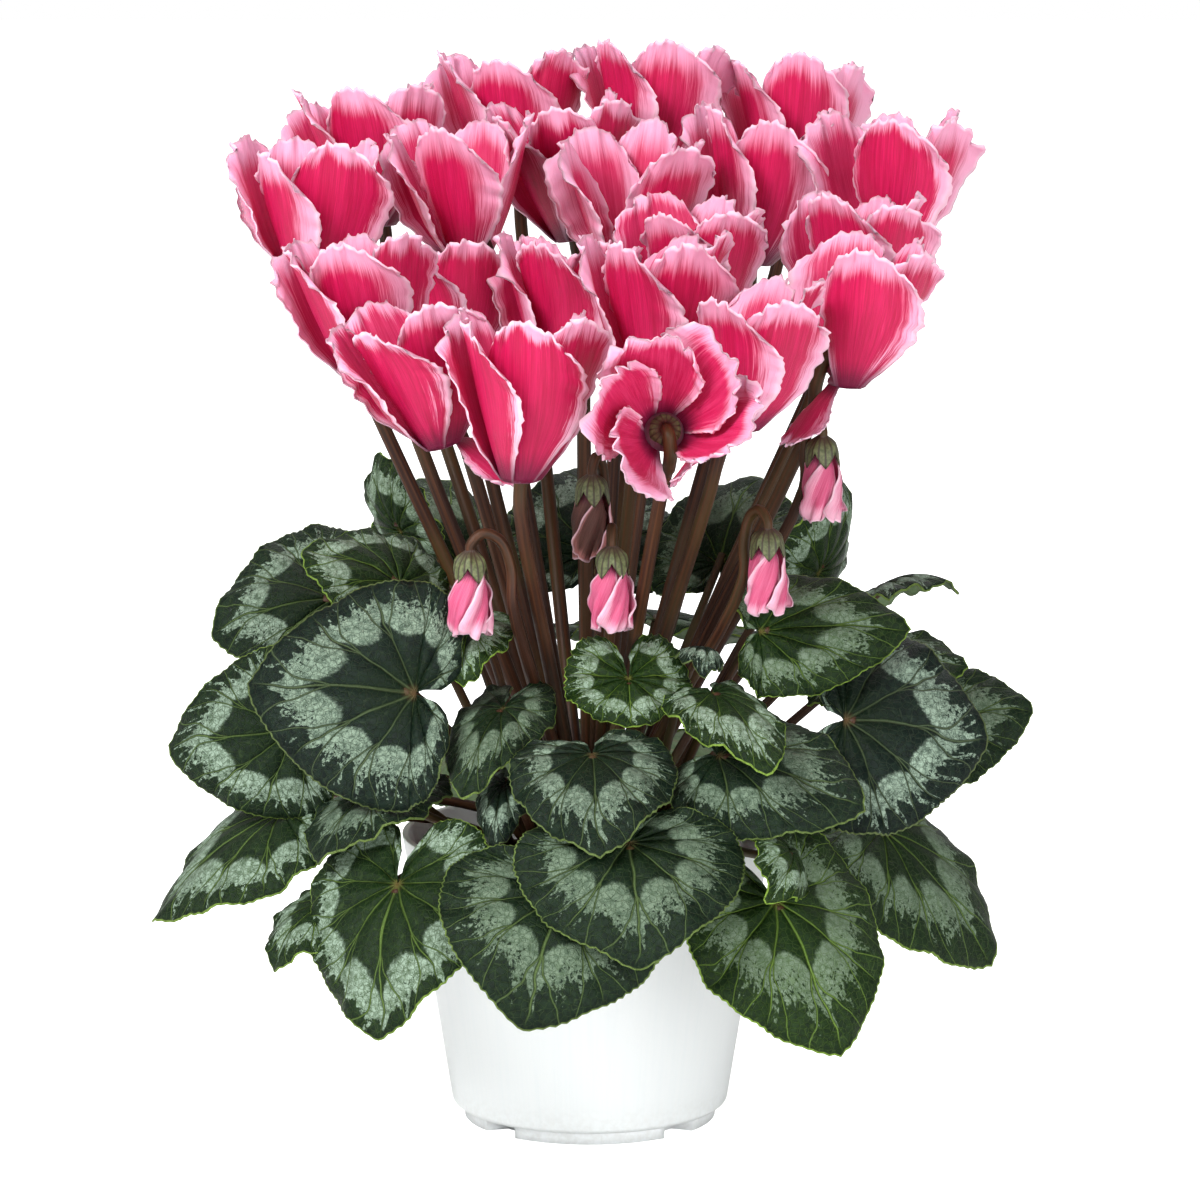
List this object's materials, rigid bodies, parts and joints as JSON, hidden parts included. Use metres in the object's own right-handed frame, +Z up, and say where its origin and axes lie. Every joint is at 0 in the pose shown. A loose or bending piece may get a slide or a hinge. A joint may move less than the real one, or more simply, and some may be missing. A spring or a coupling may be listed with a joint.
{
  "type": "potted cyclamen",
  "caption": "Florist's cyclamen in a plain white pot: turned-back ruffled pink flowers on upright stems over heart-shaped leaves.",
  "frame": {"origin": "centre of the underside of the pot's foot, on the ground", "axes": "+Z up; the front, with the lowest leaves hanging in front of the pot, faces -Y; +X to the right seen from the front"},
  "size_m": [0.3238, 0.3344, 0.391],
  "materials": {
    "pot_plastic": "white, satin",
    "compost": null,
    "stem": null,
    "leaf": null,
    "petal": null
  },
  "bodies": {
    "root": {"pot": "pot_plastic", "compost": "compost", "tuber_and_stems": "stem", "leaf_front_low_1": "leaf", "leaf_front_low_2": "leaf", "leaf_front_low_3": "leaf", "leaf_front_mid_1": "leaf", "leaf_front_mid_2": "leaf", "leaf_front_mid_3": "leaf", "leaf_front_top_1": "leaf", "leaf_front_top_2": "leaf", "leaf_front_top_3": "leaf", "leaf_front_top_4": "leaf", "leaf_front_top_5": "leaf", "leaf_left_1": "leaf", "leaf_left_2": "leaf", "leaf_left_3": "leaf", "leaf_left_4": "leaf", "leaf_left_5": "leaf", "leaf_left_6": "leaf", "leaf_left_7": "leaf", "leaf_right_1": "leaf", "leaf_right_2": "leaf", "leaf_right_3": "leaf", "leaf_right_4": "leaf", "leaf_right_5": "leaf", "leaf_right_6": "leaf", "leaves_back_low_1": "leaf", "leaves_back_low_2": "leaf", "leaves_back_low_3": "leaf", "leaves_back_mid_1": "leaf", "leaves_back_mid_2": "leaf", "leaves_back_top_1": "leaf", "leaves_back_top_2": "leaf", "bloom_1": "petal", "bloom_2": "petal", "bloom_3": "petal", "bloom_4": "petal", "bloom_5": "petal", "bloom_6": "petal", "bloom_7": "petal", "bloom_8": "petal", "bloom_9": "petal", "bloom_10": "petal", "bloom_11": "petal", "bloom_12": "petal", "bloom_13": "petal", "bloom_14": "petal", "bloom_15": "petal", "bloom_16": "petal", "bloom_17": "petal", "bloom_18": "petal", "bloom_19": "petal", "bloom_20": "petal", "bloom_21": "petal", "bud_1": "petal", "bud_2": "petal", "bud_3": "petal", "bud_4": "petal", "bud_5": "petal"}
  },
  "joints": []
}
